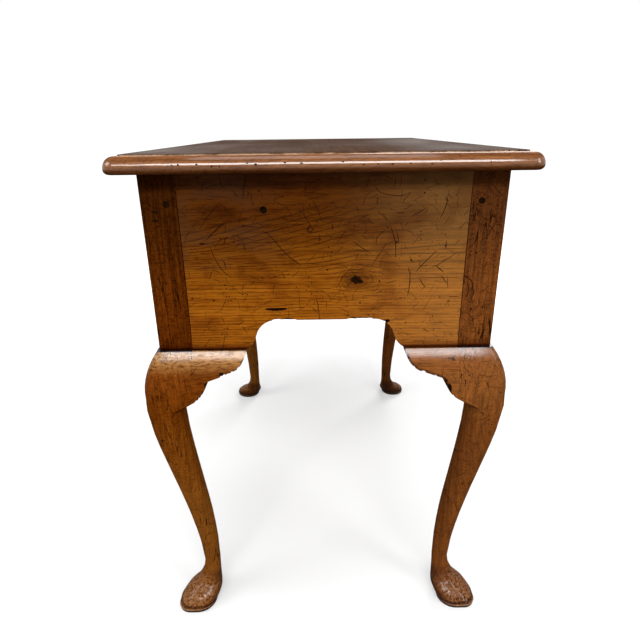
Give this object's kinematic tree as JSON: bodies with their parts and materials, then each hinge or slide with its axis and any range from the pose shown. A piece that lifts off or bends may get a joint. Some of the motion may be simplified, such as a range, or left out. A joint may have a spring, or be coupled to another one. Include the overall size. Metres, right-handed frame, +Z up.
{
  "type": "lowboy",
  "caption": "Small dressing table on cabriole legs with pad feet: a moulded top, arched side panels and apron, and lipped drawers with swinging bail handles.",
  "frame": {"origin": "on the floor, under the middle of the top", "axes": "+X runs along the front to the right end as seen from the front, -Y is the front, +Z is up"},
  "size_m": [0.79, 0.514, 0.72],
  "materials": {
    "top_oak": "polished, worn",
    "panel_oak": "waxed, scratched",
    "leg_oak": "waxed satin",
    "front_oak": "waxed satin",
    "inner_oak": "dry, unpolished",
    "brass": "aged brass",
    "screw_steel": "dark iron"
  },
  "bodies": {
    "case": {"back_panel": "inner_oak", "divider_left": "front_oak", "divider_right": "front_oak", "front_apron": "front_oak", "glue_blocks": "inner_oak", "joint_pegs": "panel_oak", "kicker_inner_left": "inner_oak", "kicker_inner_right": "inner_oak", "kicker_outer_left": "inner_oak", "kicker_outer_right": "inner_oak", "knee_return_back_left_side": "leg_oak", "knee_return_back_right_side": "leg_oak", "knee_return_front_left_face": "leg_oak", "knee_return_front_left_side": "leg_oak", "knee_return_front_right_face": "leg_oak", "knee_return_front_right_side": "leg_oak", "leg_back_left": "leg_oak", "leg_back_right": "leg_oak", "leg_front_left": "leg_oak", "leg_front_right": "leg_oak", "partition_left": "inner_oak", "partition_right": "inner_oak", "runner_centre_left": "inner_oak", "runner_centre_right": "inner_oak", "runner_inner_left": "inner_oak", "runner_inner_right": "inner_oak", "runner_outer_left": "inner_oak", "runner_outer_right": "inner_oak", "side_panel_left": "panel_oak", "side_panel_right": "panel_oak", "top": "top_oak", "top_rail": "front_oak", "top_screws": "screw_steel"},
    "drawer_left": {"drawer_left_back": "inner_oak", "drawer_left_bottom": "inner_oak", "drawer_left_front": "front_oak", "drawer_left_handle_plate": "brass", "drawer_left_handle_posts": "brass", "drawer_left_side_left": "inner_oak", "drawer_left_side_right": "inner_oak"},
    "drawer_centre": {"drawer_centre_back": "inner_oak", "drawer_centre_bottom": "inner_oak", "drawer_centre_front": "front_oak", "drawer_centre_handle_plate": "brass", "drawer_centre_handle_posts": "brass", "drawer_centre_side_left": "inner_oak", "drawer_centre_side_right": "inner_oak"},
    "drawer_right": {"drawer_right_back": "inner_oak", "drawer_right_bottom": "inner_oak", "drawer_right_front": "front_oak", "drawer_right_handle_plate": "brass", "drawer_right_handle_posts": "brass", "drawer_right_side_left": "inner_oak", "drawer_right_side_right": "inner_oak"},
    "bail_left": {"drawer_left_handle_bail": "brass"},
    "bail_centre": {"drawer_centre_handle_bail": "brass"},
    "bail_right": {"drawer_right_handle_bail": "brass"}
  },
  "joints": [
    {"name": "drawer_left_slide", "type": "slide", "parent": "case", "child": "drawer_left", "axis": [0, -1, 0], "range_m": [0, 0.3]},
    {"name": "bail_left_swing", "type": "hinge", "parent": "drawer_left", "child": "bail_left", "pos_m": [-0.223, -0.2458, 0.61], "axis": [-1, 0, 0], "range_deg": [0, 95]},
    {"name": "drawer_centre_slide", "type": "slide", "parent": "case", "child": "drawer_centre", "axis": [0, -1, 0], "range_m": [0, 0.3]},
    {"name": "bail_centre_swing", "type": "hinge", "parent": "drawer_centre", "child": "bail_centre", "pos_m": [0, -0.2458, 0.645], "axis": [-1, 0, 0], "range_deg": [0, 95]},
    {"name": "drawer_right_slide", "type": "slide", "parent": "case", "child": "drawer_right", "axis": [0, -1, 0], "range_m": [0, 0.3]},
    {"name": "bail_right_swing", "type": "hinge", "parent": "drawer_right", "child": "bail_right", "pos_m": [0.223, -0.2458, 0.61], "axis": [-1, 0, 0], "range_deg": [0, 95]}
  ]
}
